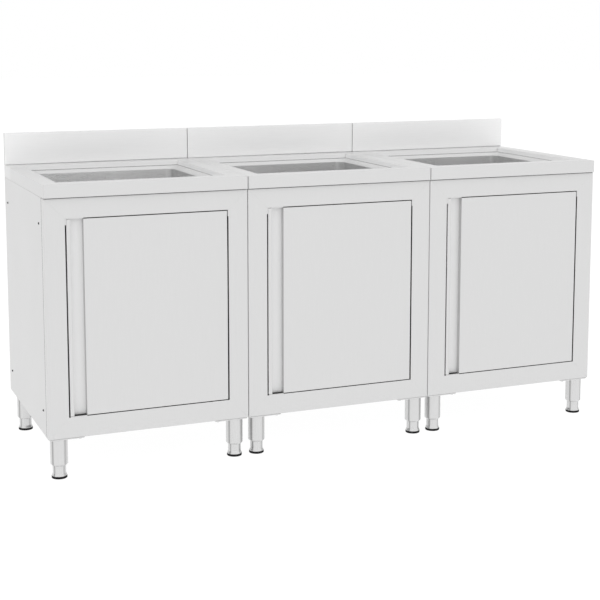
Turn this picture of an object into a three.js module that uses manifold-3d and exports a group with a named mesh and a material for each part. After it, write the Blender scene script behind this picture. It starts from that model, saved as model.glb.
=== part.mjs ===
// A run of three free-standing stainless sink cabinets, standing side by side as one three compartment
// sink. Each cabinet carries a pressed worktop with a raised rim and an upstand, a welded-in bowl with a
// waste, one door hung on a full-height rod, and four round legs with adjustable feet.
// Millimetres, +Z up. X runs along the row, -Y is the front, and the origin is on the floor, below the
// middle of the row. Each unit is modelled about its own middle and then placed along X.

import * as THREE from 'three';
import { mergeVertices } from 'three/addons/utils/BufferGeometryUtils.js';
import Module from 'manifold-3d';

const wasm = await Module();
wasm.setup();

// ---- Driving dimensions ----------------------------------------------------------------------------

const UNIT_PITCH = 600;
const UNIT_NAMES = ['left', 'middle', 'right'];
const DEPTH = 600;
const WORKTOP_HEIGHT = 845;
const CABINET_BOTTOM = 120;

const GAP = 0.3; // clearance between pieces that touch
const SHEET = 1.5; // worktop, bowl and cabinet sheet
const DOOR_SHEET = 1.2;
const WORKTOP_SEAM = 1; // between two worktops
const OVERCUT = 2; // how far a cutting block runs past the face that it opens

const SKIRT_HEIGHT = 38;
const SPLASH_HEIGHT = 100;
const SPLASH_THICKNESS = 16;
const RIM_SIDE = 48;
const RIM_FRONT = 52;
const RIM_REAR = 70;
const SLOPE_RUN = 14; // the pressed slope from the rim down to the deck around the bowl
const SLOPE_DROP = 15;

const BOWL_INSET = 12; // from the foot of the slope to the bowl's wall
const BOWL_EDGE_RADIUS = 11;
const BOWL_CORNER_RADIUS = 30;
const BOWL_FLOOR_RADIUS = 24;
const BOWL_FLOOR_Z = 580;
const BOWL_FALL = 4; // from the walls to the waste
const BOWL_FLANGE = 9; // welded under the deck
const BOWL_CORNER_STEPS = 3;

const WASTE_HOLE_RADIUS = 42;
const WASTE_NECK_RADIUS = 40.8; // clears the flats of the faceted hole
const WASTE_WALL = 3;
const WASTE_FLANGE = 12;
const WASTE_FLANGE_RISE = 2.5; // above the bowl's dish
const WASTE_FLANGE_BEVEL = 2;
const WASTE_LEDGE_DEPTH = 6; // the strainer's ledge, below the bowl's dish
const WASTE_LEDGE = 5;
const WASTE_CUP_DEPTH = 8; // below the ledge, before it tapers to the tail
const WASTE_TAPER = 8;
const WASTE_NUT = 10; // the back nut's rim and its height
const WASTE_DISH_RADIUS = 60;
const WASTE_DISH_DEPTH = 3;
const WASTE_TAIL_RADIUS = 25;
const WASTE_TAIL_BOTTOM = 478;
const STRAINER_THICKNESS = 2;
const STRAINER_HOLES = 8;
const STRAINER_HOLE_RADIUS = 5;

const CABINET_SIDE_INSET = 0.8;
const CABINET_FRONT_INSET = 6.3;
const SHADOW_GAP = 1.6; // between the skirt's lower edge and the step where the cabinet narrows
const NECK_SIDE_STEP = 1.8; // how far the cabinet's top is set in, to stand inside the skirt
const NECK_FRONT_STEP = 5;
const CABINET_BACK_INSET = 2;
const FRAME_RETURN = 26; // how far the face frame wraps round the cabinet's side
const BORDER = 60;
const OPENING_TOP = 748;
const JAMB_DEPTH = 22;
const STOP_DROP = 19; // the door stop hangs this far below the opening's top
const SIDE_FLANGE = 15;
const BACK_PANEL_Y = 273;
const SERVICE_HALF_WIDTH = 150;
const SERVICE_BOTTOM = 330;
const SERVICE_TOP = 560;
const SHELF_TOP = 178;
const SHELF_LIP = 105; // turned in below the shelf, to take the leg plates

const DOOR_SIDE_GAP = 4.5;
const DOOR_END_GAP = 2.8; // above and below the door
const DOOR_THICKNESS = 21.5;
const GRIP_LIP = 11;
const GRIP_WIDTH = 36.5;
const GRIP_DEPTH = 16;
const HINGE_INSET = 7; // the rod's axis behind the door's face and in from its right edge
const ROD_RADIUS = 3;
const COLLAR_RADIUS = 6;
const ROD_OVERHANG = 8; // past the opening, into the frame
const STOP_CLEARANCE = 2.7; // behind the door, for its hinge corner as it turns

const LEG_RADIUS = 25;
const LEG_SIDE_INSET = 35.3;
const LEG_FRONT_Y = -262;
const LEG_REAR_Y = 240;
const LEG_WALL = 2;
const LEG_BOTTOM = 37.5;
const LEG_SHOULDER = 42;
const LEG_CHAMFER = 4.2;
const LEG_SHOULDER_WALL = 4; // the reducing ring at the tube's lower end
const PLATE_SIZE = 100;
const PLATE_THICKNESS = 3;
const PLATE_MARGIN = 31; // from the leg's axis to the plate's outer edges
const FOOT_NECK_RADIUS = 19;
const FOOT_BASE_RADIUS = 22.3;
const FOOT_PAD_HEIGHT = 7;
const FOOT_FLARE_TOP = 14;
const FOOT_NECK_TOP = 78;
const FOOT_SLEEVE_WALL = 2;
const FOOT_BASE_WALL = 3; // above the flare, inside the sleeve
const FOOT_STEM_RADIUS = 6;

const LEG_SIDES = 12;
const WASTE_SIDES = 16;
const ROD_SIDES = 8;

// ---- Worked-out places -----------------------------------------------------------------------------

const FRONT = -DEPTH / 2;
const BACK = DEPTH / 2;
const WORKTOP_HALF = (UNIT_PITCH - WORKTOP_SEAM) / 2;
const SKIRT_BOTTOM = WORKTOP_HEIGHT - SKIRT_HEIGHT;
const SPLASH_TOP = WORKTOP_HEIGHT + SPLASH_HEIGHT;
const DECK_Z = WORKTOP_HEIGHT - SLOPE_DROP;
const RIM_HALF_X = UNIT_PITCH / 2 - RIM_SIDE;
const RIM_Y = [FRONT + RIM_FRONT, BACK - RIM_REAR];
const BOWL_WALL_INSET = SLOPE_RUN + BOWL_INSET;
const BOWL_HALF_X = RIM_HALF_X - BOWL_WALL_INSET;
const BOWL_Y = [RIM_Y[0] + BOWL_WALL_INSET, RIM_Y[1] - BOWL_WALL_INSET];
const WASTE_Y = (BOWL_Y[0] + BOWL_Y[1]) / 2;
const FLANGE_Z = DECK_Z - SHEET - GAP;
const DISH_Z = BOWL_FLOOR_Z - BOWL_FALL - WASTE_DISH_DEPTH;

const CABINET_HALF = UNIT_PITCH / 2 - CABINET_SIDE_INSET;
const CABINET_FRONT = FRONT + CABINET_FRONT_INSET;
const CABINET_BACK = BACK - CABINET_BACK_INSET;
const CABINET_TOP = WORKTOP_HEIGHT - SHEET - GAP;
const NECK_BOTTOM = SKIRT_BOTTOM - SHADOW_GAP;
const NECK_HALF = CABINET_HALF - NECK_SIDE_STEP;
const FRAME_BACK = CABINET_FRONT + FRAME_RETURN;
const OPENING_HALF = UNIT_PITCH / 2 - BORDER;
const OPENING_BOTTOM = CABINET_BOTTOM + BORDER;

const DOOR_LEFT = -OPENING_HALF + DOOR_SIDE_GAP;
const DOOR_RIGHT = OPENING_HALF - DOOR_SIDE_GAP;
const DOOR_BOTTOM = OPENING_BOTTOM + DOOR_END_GAP;
const DOOR_TOP = OPENING_TOP - DOOR_END_GAP;
const DOOR_BACK = CABINET_FRONT + DOOR_THICKNESS;
const ROD_X = DOOR_RIGHT - HINGE_INSET;
const ROD_Y = CABINET_FRONT + HINGE_INSET;
const ROD_HOLE_RADIUS = ROD_RADIUS + GAP;
const STOP_Y = DOOR_BACK + STOP_CLEARANCE;

const PLATE_TOP = CABINET_BOTTOM - GAP;
const PLATE_BOTTOM = PLATE_TOP - PLATE_THICKNESS;

// ---- Materials -------------------------------------------------------------------------------------

const brushedSteel = new THREE.MeshStandardMaterial({ color: 0xd9dadb, roughness: 0.34, metalness: 0.9 });
const insideSteel = new THREE.MeshStandardMaterial({ color: 0xc4c6c8, roughness: 0.45, metalness: 0.85 });
const polishedSteel = new THREE.MeshStandardMaterial({ color: 0xdfe1e3, roughness: 0.2, metalness: 0.95 });
const footSteel = new THREE.MeshStandardMaterial({ color: 0xcfd0d2, roughness: 0.4, metalness: 0.8 });

// ---- Solid helpers ---------------------------------------------------------------------------------

// A closed three.js geometry as a solid that can be joined and cut.
function solid(geometry) {
  const bare = geometry.clone();
  bare.deleteAttribute('normal');
  bare.deleteAttribute('uv');
  const merged = mergeVertices(bare, 1e-4);
  return new wasm.Manifold(new wasm.Mesh({
    numProp: 3,
    vertProperties: new Float32Array(merged.attributes.position.array),
    triVerts: new Uint32Array(merged.index.array),
  }));
}

// A solid back as a three.js geometry.
function geometryOf(body) {
  const mesh = body.getMesh();
  const geometry = new THREE.BufferGeometry();
  geometry.setAttribute('position', new THREE.BufferAttribute(mesh.vertProperties, mesh.numProp));
  geometry.setIndex(new THREE.BufferAttribute(mesh.triVerts, 1));
  geometry.computeVertexNormals();
  return geometry;
}

function block([x0, x1], [y0, y1], [z0, z1]) {
  const box = new THREE.BoxGeometry(x1 - x0, y1 - y0, z1 - z0);
  box.translate((x0 + x1) / 2, (y0 + y1) / 2, (z0 + z1) / 2);
  return solid(box);
}

// A flat outline in X and Y, raised from z0 to z1.
function raised(outline, [z0, z1]) {
  const shape = new THREE.Shape(outline.map(([x, y]) => new THREE.Vector2(x, y)));
  const geometry = new THREE.ExtrudeGeometry(shape, { depth: z1 - z0, bevelEnabled: false });
  geometry.translate(0, 0, z0);
  return solid(geometry);
}

// A flat outline in X and Z, run from y0 back to y1.
function runBack(outline, [y0, y1]) {
  const shape = new THREE.Shape(outline.map(([x, z]) => new THREE.Vector2(x, z)));
  const geometry = new THREE.ExtrudeGeometry(shape, { depth: y1 - y0, bevelEnabled: false });
  geometry.rotateX(Math.PI / 2);
  geometry.translate(0, y1, 0);
  return solid(geometry);
}

// A profile of [radius, z] points turned about Z. It starts and ends on the axis, or closes on itself.
function turned(profile, sides) {
  const points = profile.map(([radius, z]) => new THREE.Vector2(radius, z));
  const geometry = new THREE.LatheGeometry(points, sides);
  geometry.rotateX(Math.PI / 2);
  return solid(geometry);
}

// An upright round bar between two heights, with a given number of sides.
function bar(x, y, radius, [z0, z1], sides) {
  const geometry = new THREE.CylinderGeometry(radius, radius, z1 - z0, sides);
  geometry.rotateX(Math.PI / 2);
  geometry.translate(x, y, (z0 + z1) / 2);
  return solid(geometry);
}

// A ring-shaped body: rings of equal point count, each joined to the next and the last to the first.
function ringBody(rings) {
  const count = rings[0].length;
  const positions = rings.flat(2);
  const index = [];
  rings.forEach((ring, r) => {
    const here = r * count;
    const next = ((r + 1) % rings.length) * count;
    for (let i = 0; i < count; i += 1) {
      const j = (i + 1) % count;
      index.push(here + i, next + j, next + i);
      index.push(here + i, here + j, next + j);
    }
  });
  const geometry = new THREE.BufferGeometry();
  geometry.setAttribute('position', new THREE.Float32BufferAttribute(positions, 3));
  geometry.setIndex(index);
  geometry.computeVertexNormals();
  return geometry;
}

// ---- Worktop ---------------------------------------------------------------------------------------

// The hollow of the recess: a rectangle at the rim that narrows to a rectangle at the deck. grow
// moves every face outward, for the underside of the same pressing.
function recess(grow) {
  const level = (inset, z) => {
    const x = RIM_HALF_X - inset + grow;
    const [y0, y1] = [RIM_Y[0] + inset - grow, RIM_Y[1] - inset + grow];
    return [[x, y0, z], [x, y1, z], [-x, y1, z], [-x, y0, z]];
  };
  const rise = OVERCUT;
  const outward = -rise * SLOPE_RUN / SLOPE_DROP;
  const low = level(SLOPE_RUN, DECK_Z - grow);
  const high = level(outward, WORKTOP_HEIGHT + rise - grow);
  const geometry = new THREE.BufferGeometry();
  geometry.setAttribute('position', new THREE.Float32BufferAttribute([...low, ...high].flat(), 3));
  const sides = [0, 1, 2, 3].flatMap((i) => {
    const j = (i + 1) % 4;
    return [i, j, j + 4, i, j + 4, i + 4];
  });
  geometry.setIndex([0, 2, 1, 0, 3, 2, 4, 5, 6, 4, 6, 7, ...sides]);
  return solid(geometry);
}

// The corners of a rounded rectangle round the bowl, offset outward from the bowl's wall.
function bowlRing(offset, z) {
  const radius = BOWL_CORNER_RADIUS + offset;
  const corners = [
    [BOWL_HALF_X, BOWL_Y[1], 0],
    [-BOWL_HALF_X, BOWL_Y[1], 1],
    [-BOWL_HALF_X, BOWL_Y[0], 2],
    [BOWL_HALF_X, BOWL_Y[0], 3],
  ];
  return corners.flatMap(([x, y, quarter]) => {
    const centreX = x - Math.sign(x) * BOWL_CORNER_RADIUS;
    const centreY = y - Math.sign(y) * BOWL_CORNER_RADIUS;
    const points = [];
    for (let step = 0; step <= BOWL_CORNER_STEPS; step += 1) {
      const angle = (quarter + step / BOWL_CORNER_STEPS) * Math.PI / 2;
      points.push([centreX + radius * Math.cos(angle), centreY + radius * Math.sin(angle), z]);
    }
    return points;
  });
}

// A circle round the waste, with a point for each point of bowlRing.
function wasteRing(radius, z) {
  const count = 4 * (BOWL_CORNER_STEPS + 1);
  const points = [];
  for (let i = 0; i < count; i += 1) {
    const angle = (i + 0.5) / count * 2 * Math.PI;
    points.push([radius * Math.cos(angle), WASTE_Y + radius * Math.sin(angle), z]);
  }
  return points;
}

function worktop() {
  const inside = WORKTOP_HALF - SHEET;
  const below = SKIRT_BOTTOM - OVERCUT;
  const slab = block([-WORKTOP_HALF, WORKTOP_HALF], [FRONT, BACK], [SKIRT_BOTTOM, WORKTOP_HEIGHT]);
  const splashFront = BACK - SPLASH_THICKNESS;
  const splash = block([-WORKTOP_HALF, WORKTOP_HALF], [splashFront, BACK], [SKIRT_BOTTOM, SPLASH_TOP]);
  const underside = block([-inside, inside], [FRONT + SHEET, BACK - SHEET], [below, WORKTOP_HEIGHT - SHEET])
    .subtract(recess(SHEET));
  const splashHollow = block(
    [-inside, inside], [splashFront + SHEET, BACK - SHEET], [below, SPLASH_TOP - SHEET]);
  const aperture = raised(bowlRing(BOWL_EDGE_RADIUS, 0), [DECK_Z - SHEET - OVERCUT, DECK_Z + OVERCUT]);
  return slab.add(splash).subtract(recess(0)).subtract(underside).subtract(splashHollow).subtract(aperture);
}

// ---- Bowl and waste --------------------------------------------------------------------------------

// The bend from the flange into the wall. radius is measured on the side being drawn.
function edgeBend(radius, turn) {
  const offset = BOWL_EDGE_RADIUS - radius * Math.sin(turn);
  return bowlRing(offset, FLANGE_Z - BOWL_EDGE_RADIUS + radius * Math.cos(turn));
}

// The bend from the wall into the floor.
function floorBend(radius, turn) {
  const offset = -BOWL_FLOOR_RADIUS + radius * Math.cos(turn);
  return bowlRing(offset, BOWL_FLOOR_Z + BOWL_FLOOR_RADIUS - radius * Math.sin(turn));
}

function bowl() {
  const turns = [0, Math.PI / 4, Math.PI / 2];
  const flangeOffset = BOWL_EDGE_RADIUS + BOWL_FLANGE;
  const dishTop = BOWL_FLOOR_Z - BOWL_FALL;
  const inner = [
    bowlRing(flangeOffset, FLANGE_Z),
    ...turns.map((turn) => edgeBend(BOWL_EDGE_RADIUS, turn)),
    ...turns.map((turn) => floorBend(BOWL_FLOOR_RADIUS, turn)),
    wasteRing(WASTE_DISH_RADIUS, dishTop),
    wasteRing(WASTE_DISH_RADIUS - WASTE_DISH_DEPTH, DISH_Z),
    wasteRing(WASTE_HOLE_RADIUS, DISH_Z),
  ];
  const outer = [
    bowlRing(flangeOffset, FLANGE_Z - SHEET),
    ...turns.map((turn) => edgeBend(BOWL_EDGE_RADIUS - SHEET, turn)),
    ...turns.map((turn) => floorBend(BOWL_FLOOR_RADIUS + SHEET, turn)),
    wasteRing(WASTE_DISH_RADIUS, dishTop - SHEET),
    wasteRing(WASTE_DISH_RADIUS - WASTE_DISH_DEPTH, DISH_Z - SHEET),
    wasteRing(WASTE_HOLE_RADIUS, DISH_Z - SHEET),
  ];
  return ringBody([...inner, ...outer.reverse()]);
}

// The waste's body: a flange in the bowl's dish, a neck, a back nut under the bowl and the tail pipe.
function wasteOutlet() {
  const neck = WASTE_NECK_RADIUS;
  const bore = neck - WASTE_WALL;
  const cup = bore - WASTE_LEDGE;
  const tail = WASTE_TAIL_RADIUS;
  const flange = neck + WASTE_FLANGE;
  const flangeTop = DISH_Z + WASTE_FLANGE_RISE;
  const ledge = DISH_Z - WASTE_LEDGE_DEPTH;
  const cupBottom = ledge - WASTE_CUP_DEPTH;
  const taperBottom = cupBottom - WASTE_TAPER;
  const nutTop = DISH_Z - SHEET - GAP;
  const nutBottom = nutTop - WASTE_NUT;
  const profile = [
    [bore, flangeTop],
    [bore, ledge],
    [cup, ledge],
    [cup, cupBottom],
    [tail - WASTE_WALL, taperBottom],
    [tail - WASTE_WALL, WASTE_TAIL_BOTTOM],
    [tail, WASTE_TAIL_BOTTOM],
    [tail, taperBottom - WASTE_WALL],
    [neck, cupBottom - WASTE_WALL - 1],
    [neck, nutBottom],
    [neck + WASTE_NUT, nutBottom],
    [neck + WASTE_NUT, nutTop],
    [neck, nutTop],
    [neck, DISH_Z + GAP],
    [flange, DISH_Z + GAP],
    [flange, flangeTop - 1],
    [flange - WASTE_FLANGE_BEVEL, flangeTop],
    [bore, flangeTop],
  ];
  return turned(profile, WASTE_SIDES).translate(0, WASTE_Y, 0);
}

// The strainer plate on the waste's inner ledge, with a ring of holes.
function drainStrainer() {
  const bottom = DISH_Z - WASTE_LEDGE_DEPTH + GAP;
  const top = bottom + STRAINER_THICKNESS;
  const radius = WASTE_NECK_RADIUS - WASTE_WALL - GAP;
  const ring = radius * 0.6;
  let strainer = bar(0, WASTE_Y, radius, [bottom, top], WASTE_SIDES);
  for (let i = 0; i < STRAINER_HOLES; i += 1) {
    const angle = i / STRAINER_HOLES * 2 * Math.PI;
    const [x, y] = [ring * Math.cos(angle), WASTE_Y + ring * Math.sin(angle)];
    strainer = strainer.subtract(bar(x, y, STRAINER_HOLE_RADIUS, [bottom - OVERCUT, top + OVERCUT], 6));
  }
  return strainer;
}

// ---- Cabinet ---------------------------------------------------------------------------------------

// A folded cover round the cabinet's front: a wider part below and a neck that stands inside the skirt.
// thickness 0 gives its outside, and a sheet's thickness gives its inside.
function frontCover(thickness, back) {
  const half = CABINET_HALF - thickness;
  const neck = NECK_HALF - thickness;
  const front = CABINET_FRONT + thickness;
  const low = block([-half, half], [front, back], [CABINET_BOTTOM + thickness, NECK_BOTTOM - thickness]);
  const high = block(
    [-neck, neck], [front + NECK_FRONT_STEP, back], [NECK_BOTTOM - thickness - 1, CABINET_TOP - thickness]);
  return low.add(high);
}

// The front frame: a pressed border round the door opening, wrapped back round the cabinet's sides,
// with turned-in jambs, a door stop along the top and a hole at each end of the hinge rod.
function faceFrame() {
  const half = OPENING_HALF;
  const jambBack = CABINET_FRONT + JAMB_DEPTH;
  const jambs = block(
    [-half - SHEET, half + SHEET], [CABINET_FRONT, jambBack], [OPENING_BOTTOM - SHEET, OPENING_TOP + SHEET]);
  const opening = block(
    [-half, half], [CABINET_FRONT - OVERCUT, jambBack + OVERCUT], [OPENING_BOTTOM, OPENING_TOP]);
  const headTop = OPENING_TOP + SHEET;
  const stopBack = STOP_Y + SHEET;
  const head = block([-half, half], [CABINET_FRONT + SHEET, stopBack], [OPENING_TOP, headTop]);
  const stop = block([-half, half], [STOP_Y, stopBack], [OPENING_TOP - STOP_DROP, headTop]);
  const rodSpan = [OPENING_BOTTOM - SHEET - OVERCUT, OPENING_TOP + SHEET + OVERCUT];
  return frontCover(0, FRAME_BACK)
    .subtract(frontCover(SHEET, FRAME_BACK + OVERCUT))
    .add(jambs)
    .subtract(opening)
    .add(head)
    .add(stop)
    .subtract(bar(ROD_X, ROD_Y, ROD_HOLE_RADIUS, rodSpan, ROD_SIDES));
}

// A side panel: a sheet with a step under the skirt and its top edge turned into the cabinet. side is
// -1 left, 1 right.
function sidePanel(side) {
  const outer = CABINET_HALF;
  const flange = NECK_HALF - SIDE_FLANGE;
  const outline = [
    [outer, CABINET_BOTTOM],
    [outer, NECK_BOTTOM],
    [NECK_HALF, NECK_BOTTOM + SHADOW_GAP],
    [NECK_HALF, CABINET_TOP],
    [flange, CABINET_TOP],
    [flange, CABINET_TOP - SHEET],
    [NECK_HALF - SHEET, CABINET_TOP - SHEET],
    [NECK_HALF - SHEET, NECK_BOTTOM + SHADOW_GAP],
    [outer - SHEET, NECK_BOTTOM],
    [outer - SHEET, CABINET_BOTTOM],
  ];
  const mirrored = outline.map(([x, z]) => [side * x, z]);
  return runBack(mirrored, [FRAME_BACK + GAP, CABINET_BACK]);
}

function backPanel() {
  const half = NECK_HALF - SHEET - GAP;
  const [y0, y1] = [BACK_PANEL_Y, BACK_PANEL_Y + SHEET];
  const panel = block([-half, half], [y0, y1], [CABINET_BOTTOM, CABINET_TOP - SHEET - GAP]);
  const service = block(
    [-SERVICE_HALF_WIDTH, SERVICE_HALF_WIDTH], [y0 - OVERCUT, y1 + OVERCUT], [SERVICE_BOTTOM, SERVICE_TOP]);
  return panel.subtract(service);
}

// The bottom shelf: one sheet folded down at both sides and turned in below, over the leg plates.
function bottomShelf() {
  const outer = CABINET_HALF - SHEET - GAP;
  const inner = outer - SHEET;
  const lip = outer - SHELF_LIP;
  const right = [
    [outer, SHELF_TOP],
    [outer, CABINET_BOTTOM],
    [lip, CABINET_BOTTOM],
    [lip, CABINET_BOTTOM + SHEET],
    [inner, CABINET_BOTTOM + SHEET],
    [inner, SHELF_TOP - SHEET],
  ];
  const left = right.map(([x, z]) => [-x, z]).reverse();
  return runBack([...right, ...left], [FRAME_BACK + GAP, BACK_PANEL_Y - GAP]);
}

// ---- Door ------------------------------------------------------------------------------------------

// The door's outer skin, with the full-height finger-grip channel pressed beside its free edge.
function doorSkin() {
  const t = DOOR_SHEET;
  const lip = DOOR_LEFT + GRIP_LIP;
  const face = lip + GRIP_WIDTH;
  const front = CABINET_FRONT;
  const floor = front + GRIP_DEPTH;
  const outside = [
    [DOOR_LEFT, DOOR_BACK],
    [DOOR_LEFT, front],
    [lip, front],
    [lip, floor],
    [face, floor],
    [face, front],
    [DOOR_RIGHT, front],
    [DOOR_RIGHT, DOOR_BACK],
  ];
  const inside = [
    [DOOR_RIGHT - t, DOOR_BACK],
    [DOOR_RIGHT - t, front + t],
    [face + t, front + t],
    [face + t, floor + t],
    [lip - t, floor + t],
    [lip - t, front + t],
    [DOOR_LEFT + t, front + t],
    [DOOR_LEFT + t, DOOR_BACK],
  ];
  return raised([...outside, ...inside], [DOOR_BOTTOM, DOOR_TOP]);
}

// The door's liner: the back sheet, turned forward along the top and the bottom to close the skin.
function doorLiner() {
  const t = DOOR_SHEET;
  const left = DOOR_LEFT + t + GAP;
  const right = DOOR_RIGHT - t - GAP;
  const flangeLeft = DOOR_LEFT + GRIP_LIP + GRIP_WIDTH + t + GAP;
  const flangeY = [CABINET_FRONT + t + GAP, DOOR_BACK];
  const sheet = block([left, right], [DOOR_BACK - t, DOOR_BACK], [DOOR_BOTTOM, DOOR_TOP]);
  const bottom = block([flangeLeft, right], flangeY, [DOOR_BOTTOM, DOOR_BOTTOM + t]);
  const top = block([flangeLeft, right], flangeY, [DOOR_TOP - t, DOOR_TOP]);
  const rodHole = bar(ROD_X, ROD_Y, ROD_HOLE_RADIUS, [DOOR_BOTTOM - OVERCUT, DOOR_TOP + OVERCUT], ROD_SIDES);
  return sheet.add(bottom).add(top).subtract(rodHole);
}

// The rod that the door turns on, with a thrust collar in the gap at each end of the door.
function hingeRod() {
  const collars = [
    [OPENING_BOTTOM + GAP, DOOR_BOTTOM - GAP],
    [DOOR_TOP + GAP, OPENING_TOP - GAP],
  ];
  const span = [OPENING_BOTTOM - ROD_OVERHANG, OPENING_TOP + ROD_OVERHANG];
  let rod = bar(ROD_X, ROD_Y, ROD_RADIUS, span, ROD_SIDES);
  for (const collar of collars) rod = rod.add(bar(ROD_X, ROD_Y, COLLAR_RADIUS, collar, ROD_SIDES));
  return rod;
}

// ---- Legs and feet ---------------------------------------------------------------------------------

// A leg about its own axis: a tube welded below a square plate. The plate's outer edges lie towards
// side (-1 left, 1 right) and end (-1 front, 1 rear).
function leg(side, end) {
  const bore = FOOT_NECK_RADIUS + 2 * GAP;
  const inner = LEG_RADIUS - LEG_WALL;
  const joint = PLATE_BOTTOM + PLATE_THICKNESS / 2; // the tube is let into the plate for the join
  const tube = turned([
    [bore, LEG_BOTTOM],
    [LEG_RADIUS - LEG_CHAMFER, LEG_BOTTOM],
    [LEG_RADIUS, LEG_SHOULDER],
    [LEG_RADIUS, joint],
    [inner, joint],
    [inner, LEG_SHOULDER + LEG_SHOULDER_WALL],
    [bore, LEG_SHOULDER],
    [bore, LEG_BOTTOM],
  ], LEG_SIDES);
  const span = (towards) => {
    const outer = towards * PLATE_MARGIN;
    const far = towards * (PLATE_MARGIN - PLATE_SIZE);
    return [Math.min(outer, far), Math.max(outer, far)];
  };
  return block(span(side), span(end), [PLATE_BOTTOM, PLATE_TOP]).add(tube);
}

// A foot about its own axis: a rubber-shod base, a sleeve that slides in the leg, and the stem that
// stops against the leg's plate.
function foot() {
  const sleeveBore = FOOT_NECK_RADIUS - FOOT_SLEEVE_WALL;
  const baseTop = FOOT_FLARE_TOP + FOOT_BASE_WALL;
  const stemTop = PLATE_BOTTOM - GAP;
  return turned([
    [0, 0],
    [FOOT_BASE_RADIUS, 0],
    [FOOT_BASE_RADIUS, FOOT_PAD_HEIGHT],
    [FOOT_NECK_RADIUS, FOOT_FLARE_TOP],
    [FOOT_NECK_RADIUS, FOOT_NECK_TOP],
    [sleeveBore, FOOT_NECK_TOP],
    [sleeveBore, baseTop],
    [FOOT_STEM_RADIUS, baseTop],
    [FOOT_STEM_RADIUS, stemTop],
    [0, stemTop],
  ], LEG_SIDES);
}

// ---- Assembly --------------------------------------------------------------------------------------

function mesh(name, geometry, material) {
  const piece = new THREE.Mesh(geometry, material);
  piece.name = name;
  return piece;
}

const fixedPieces = [
  ['worktop', geometryOf(worktop()), brushedSteel],
  ['bowl', bowl(), brushedSteel],
  ['drain_strainer', geometryOf(drainStrainer()), polishedSteel],
  ['waste_outlet', geometryOf(wasteOutlet()), polishedSteel],
  ['face_frame', geometryOf(faceFrame()), brushedSteel],
  ['side_panel_left', geometryOf(sidePanel(-1)), brushedSteel],
  ['side_panel_right', geometryOf(sidePanel(1)), brushedSteel],
  ['back_panel', geometryOf(backPanel()), insideSteel],
  ['bottom_shelf', geometryOf(bottomShelf()), insideSteel],
  ['door_skin', geometryOf(doorSkin()), brushedSteel],
  ['door_liner', geometryOf(doorLiner()), insideSteel],
  ['hinge_rod', geometryOf(hingeRod()), polishedSteel],
];

const legX = UNIT_PITCH / 2 - LEG_SIDE_INSET;
const corners = [
  { label: 'front_left', side: -1, end: -1, y: LEG_FRONT_Y },
  { label: 'front_right', side: 1, end: -1, y: LEG_FRONT_Y },
  { label: 'rear_left', side: -1, end: 1, y: LEG_REAR_Y },
  { label: 'rear_right', side: 1, end: 1, y: LEG_REAR_Y },
];
const legGeometry = corners.map(({ side, end }) => geometryOf(leg(side, end)));
const footGeometry = geometryOf(foot());

const sinkRow = new THREE.Group();
UNIT_NAMES.forEach((unitName, place) => {
  const unit = new THREE.Group();
  unit.position.x = (place - (UNIT_NAMES.length - 1) / 2) * UNIT_PITCH;
  for (const [name, geometry, material] of fixedPieces) {
    unit.add(mesh(`${unitName}_${name}`, geometry, material));
  }
  corners.forEach(({ label, side, y }, i) => {
    const stand = new THREE.Group();
    stand.position.set(side * legX, y, 0);
    stand.add(mesh(`${unitName}_leg_${label}`, legGeometry[i], brushedSteel));
    stand.add(mesh(`${unitName}_foot_${label}`, footGeometry, footSteel));
    unit.add(stand);
  });
  sinkRow.add(unit);
});

export default sinkRow;
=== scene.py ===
# The looks of a row of three stainless steel sink cabinets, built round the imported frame.
# Metres, in the frame's own axes: X along the row, -Y to the front, Z up from the floor.
import math

import bpy
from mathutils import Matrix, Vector


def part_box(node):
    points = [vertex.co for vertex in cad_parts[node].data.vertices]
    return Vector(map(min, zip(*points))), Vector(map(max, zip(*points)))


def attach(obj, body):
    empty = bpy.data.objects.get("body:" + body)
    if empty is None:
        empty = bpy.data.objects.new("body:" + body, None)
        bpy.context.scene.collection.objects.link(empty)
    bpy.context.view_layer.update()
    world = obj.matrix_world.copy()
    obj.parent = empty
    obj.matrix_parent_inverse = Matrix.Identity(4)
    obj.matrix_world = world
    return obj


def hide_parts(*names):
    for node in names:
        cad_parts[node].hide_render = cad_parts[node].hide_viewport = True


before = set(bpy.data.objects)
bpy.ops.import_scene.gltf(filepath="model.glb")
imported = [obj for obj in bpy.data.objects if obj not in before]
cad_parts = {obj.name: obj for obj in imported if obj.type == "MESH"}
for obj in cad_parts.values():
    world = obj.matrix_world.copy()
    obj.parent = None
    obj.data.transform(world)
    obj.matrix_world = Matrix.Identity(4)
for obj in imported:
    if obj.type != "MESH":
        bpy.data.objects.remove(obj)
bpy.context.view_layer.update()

# ---- Driving sizes ----

MM = 0.001
UNITS = ("left", "middle", "right")
CORNERS = {"front_left": (-1, -1), "front_right": (1, -1), "rear_left": (-1, 1), "rear_right": (1, 1)}

SHEET = 1.5 * MM
RAIL_SHEET = 1.0 * MM
DOOR_SHEET = 1.2 * MM
FOLD = 2.0 * MM  # outside radius of a folded edge
CRISP = 0.7 * MM  # a sharper fold, round the door opening
TIGHT = 0.3 * MM  # the sharpest fold
SEAM = 0.07 * MM  # half of a fine joint line
HAIR = 0.1 * MM  # between two faces that touch

SKIRT = 38 * MM
SPLASH_DEPTH = 16 * MM
RIM_SIDE = 47.5 * MM
RIM_FRONT = 52 * MM
RIM_REAR = 70 * MM
TOP_CORNER = 4.5 * MM
RECESS_CORNER = 6 * MM  # behind the recess's wall
SLOPE_RUN = 4 * MM
SLOPE_DROP = 15 * MM
RIM_BEND = 3 * MM
SEAM_STEPS = (8, 4, 2, 0.6)  # points beside a corner seam, in millimetres from the corner
SEAM_NOTCH = 2.4  # millimetres from the corner out to the seam's end

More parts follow.
